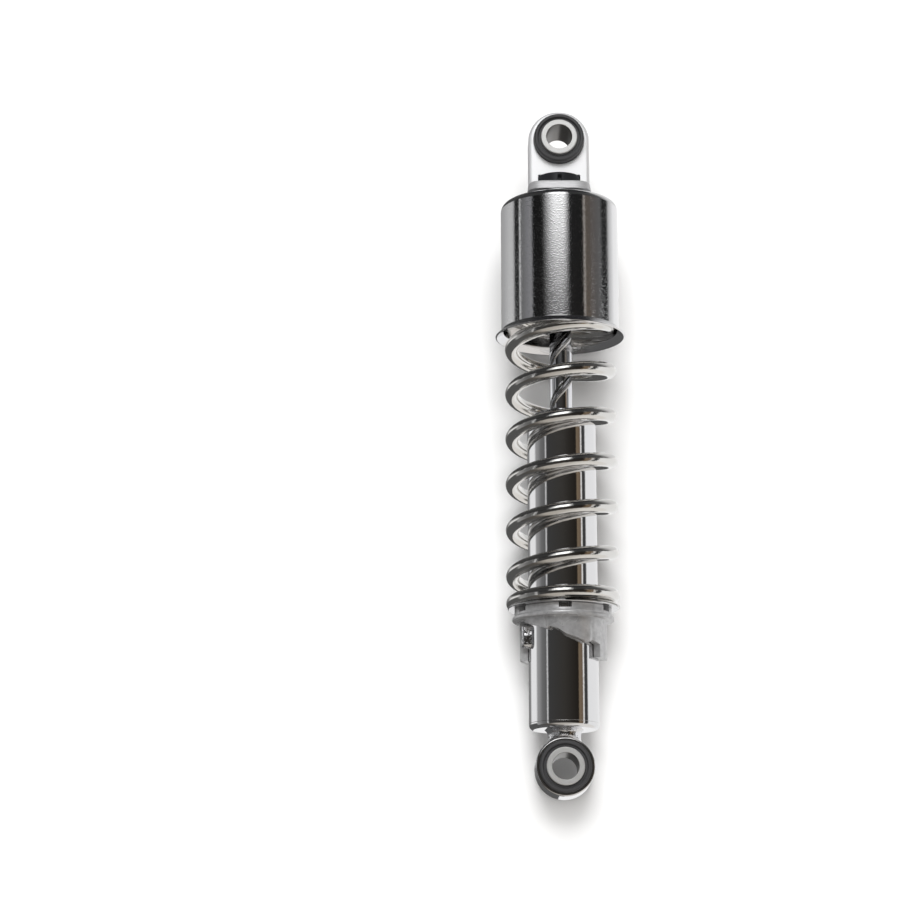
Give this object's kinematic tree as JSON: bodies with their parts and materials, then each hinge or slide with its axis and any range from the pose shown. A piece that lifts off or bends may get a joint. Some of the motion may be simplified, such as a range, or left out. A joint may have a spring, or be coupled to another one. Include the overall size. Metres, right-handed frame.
{
  "type": "rear shock absorber",
  "caption": "Twin-tube rear shock absorber with an outside coil spring, chrome upper spring cover, stepped preload cam and a rubber-bushed eye at each end.",
  "frame": {"origin": "centre of the lower eye's bore, midway along its sleeve", "axes": "+Z along the damper from the lower eye to the upper eye, +Y along both eye bores; the unit stands at full extension"},
  "size_m": [0.065, 0.065, 0.3472],
  "materials": {
    "chrome": "mirror chrome plate over polished steel",
    "spring_chrome": "chrome plate on round spring wire",
    "rod_chrome": "ground hard chrome",
    "machined_aluminium": "satin machined",
    "cast_cam": "satin as cast and tumbled",
    "sleeve_steel": "zinc plated, turned ends",
    "spring_steel_plate": "bright plated",
    "black_oxide": "black oxide, slight sheen",
    "bush_rubber": "moulded, matt with a slight sheen",
    "bump_foam": "microcellular urethane, matt",
    "seal_rubber": "oiled",
    "isolator_plastic": "matt",
    "inner_steel": "bright drawn",
    "sintered_iron": "sintered, matt",
    "bearing_bronze": "satin",
    "ptfe_ring": "bronze-filled, matt"
  },
  "bodies": {
    "upper_stud_sleeve": {"upper_sleeve": "sleeve_steel"},
    "eye_and_rod": {"upper_bush": "bush_rubber", "upper_eye": "machined_aluminium", "locknut": "black_oxide", "damper_rod": "rod_chrome", "rebound_stop": "bush_rubber", "compression_shims": "inner_steel", "piston": "sintered_iron", "piston_ring": "ptfe_ring", "rebound_shims": "inner_steel", "piston_nut": "inner_steel", "bump_stop": "bump_foam"},
    "cover": {"upper_collar": "machined_aluminium", "spring_cover": "chrome", "upper_spring_seat": "spring_steel_plate", "spring_isolator": "isolator_plastic", "coil_spring": "spring_chrome"},
    "lower_seat": {"lower_spring_seat": "spring_steel_plate"},
    "cam": {"preload_cam": "cast_cam"},
    "damper_body": {"outer_tube": "chrome", "bottom_cup": "chrome", "foot_valve": "sintered_iron", "foot_valve_shims": "inner_steel", "foot_valve_bolt": "inner_steel", "inner_cylinder": "inner_steel", "rod_guide": "sintered_iron", "guide_ring": "seal_rubber", "guide_bush": "bearing_bronze", "rod_seal": "seal_rubber", "seal_cap": "inner_steel", "dust_wiper": "seal_rubber", "cam_lugs": "chrome", "lower_neck": "chrome", "lower_eye": "chrome", "lower_bush": "bush_rubber"},
    "lower_stud_sleeve": {"lower_sleeve": "sleeve_steel"}
  },
  "joints": [
    {"name": "upper_bush_twist", "type": "hinge", "parent": "upper_stud_sleeve", "child": "eye_and_rod", "pos_m": [0, 0, 0.3175], "axis": [0, 1, 0], "range_deg": [-15, 15], "stiffness_Nm_per_rad": 12},
    {"name": "rod_swivel", "type": "hinge", "parent": "eye_and_rod", "child": "cover", "pos_m": [0, 0, 0.29], "axis": [0, 0, 1], "continuous": true},
    {"name": "stroke", "type": "slide", "parent": "cover", "child": "lower_seat", "axis": [0, 0, 1], "range_m": [0, 0.07], "stiffness_N_per_m": 22000, "springref_m": -0.01, "deforming": ["coil_spring"]},
    {"name": "cam_turn", "type": "hinge", "parent": "lower_seat", "child": "cam", "pos_m": [0, 0, 0.0772], "axis": [0, 0, -1], "range_deg": [0, 120]},
    {"name": "preload_shift", "type": "slide", "parent": "lower_seat", "child": "damper_body", "axis": [0, 0, -1], "range_m": [0, 0.0126]},
    {"name": "lower_bush_twist", "type": "hinge", "parent": "damper_body", "child": "lower_stud_sleeve", "pos_m": [0, 0, 0], "axis": [0, 1, 0], "range_deg": [-15, 15], "stiffness_Nm_per_rad": 12}
  ],
  "couplings": [
    {"joint": "cam_turn", "follows": "preload_shift", "rad_per_m": 166.22}
  ]
}
